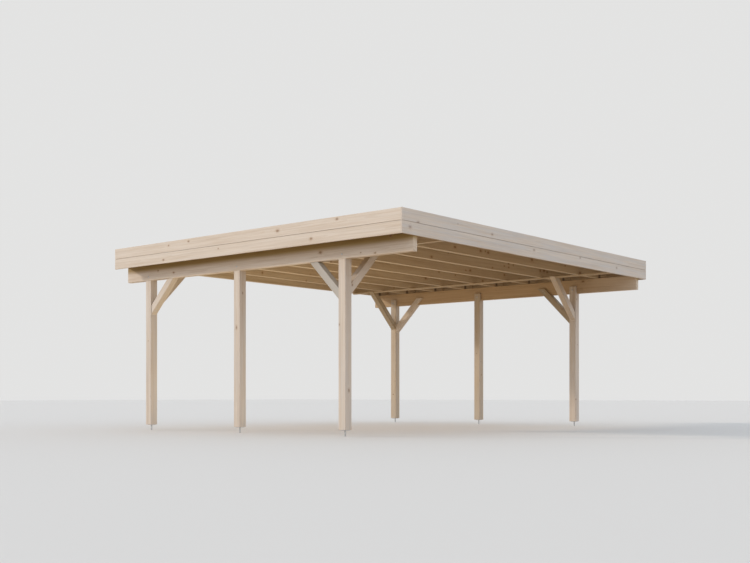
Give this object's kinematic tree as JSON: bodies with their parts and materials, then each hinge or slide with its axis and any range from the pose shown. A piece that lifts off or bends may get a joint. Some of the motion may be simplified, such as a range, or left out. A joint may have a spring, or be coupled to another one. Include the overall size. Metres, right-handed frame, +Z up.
{
  "type": "double carport",
  "caption": "Free-standing timber double carport: square posts on steel pins, braced beams, rafters and a flat boarded roof behind deep edge boards.",
  "frame": {"origin": "on the ground under the middle of the roof outline", "axes": "+X across the drive-in bay to the right seen from the front, +Y from the front to the rear, +Z up"},
  "size_m": [6.21, 5.353, 2.632],
  "materials": {
    "frame_timber": "planed spruce, untreated",
    "roof_timber": "planed spruce, untreated",
    "fascia_timber": "planed spruce, untreated",
    "zinc_steel": "zinc coated",
    "roof_sheet": "matt rubber sheet"
  },
  "bodies": {
    "root": {"post_front_left": "frame_timber", "foot_front_left": "zinc_steel", "post_middle_left": "frame_timber", "foot_middle_left": "zinc_steel", "post_rear_left": "frame_timber", "foot_rear_left": "zinc_steel", "beam_left": "frame_timber", "batten_left": "roof_timber", "rafter_angles_left": "zinc_steel", "beam_brace_front_left": "frame_timber", "rafter_brace_front_left": "frame_timber", "beam_brace_rear_left": "frame_timber", "rafter_brace_rear_left": "frame_timber", "post_front_right": "frame_timber", "foot_front_right": "zinc_steel", "post_middle_right": "frame_timber", "foot_middle_right": "zinc_steel", "post_rear_right": "frame_timber", "foot_rear_right": "zinc_steel", "beam_right": "frame_timber", "batten_right": "roof_timber", "rafter_angles_right": "zinc_steel", "beam_brace_front_right": "frame_timber", "rafter_brace_front_right": "frame_timber", "beam_brace_rear_right": "frame_timber", "rafter_brace_rear_right": "frame_timber", "rafter_1": "roof_timber", "rafter_2": "roof_timber", "rafter_3": "roof_timber", "rafter_4": "roof_timber", "rafter_5": "roof_timber", "rafter_6": "roof_timber", "rafter_7": "roof_timber", "rafter_8": "roof_timber", "rafter_9": "roof_timber", "roof_deck": "roof_timber", "roof_membrane": "roof_sheet", "fascia_lower_left": "fascia_timber", "fascia_lower_right": "fascia_timber", "fascia_lower_front": "fascia_timber", "fascia_lower_rear": "fascia_timber", "fascia_upper_left": "fascia_timber", "fascia_upper_right": "fascia_timber", "fascia_upper_front": "fascia_timber", "fascia_upper_rear": "fascia_timber"}
  },
  "joints": []
}
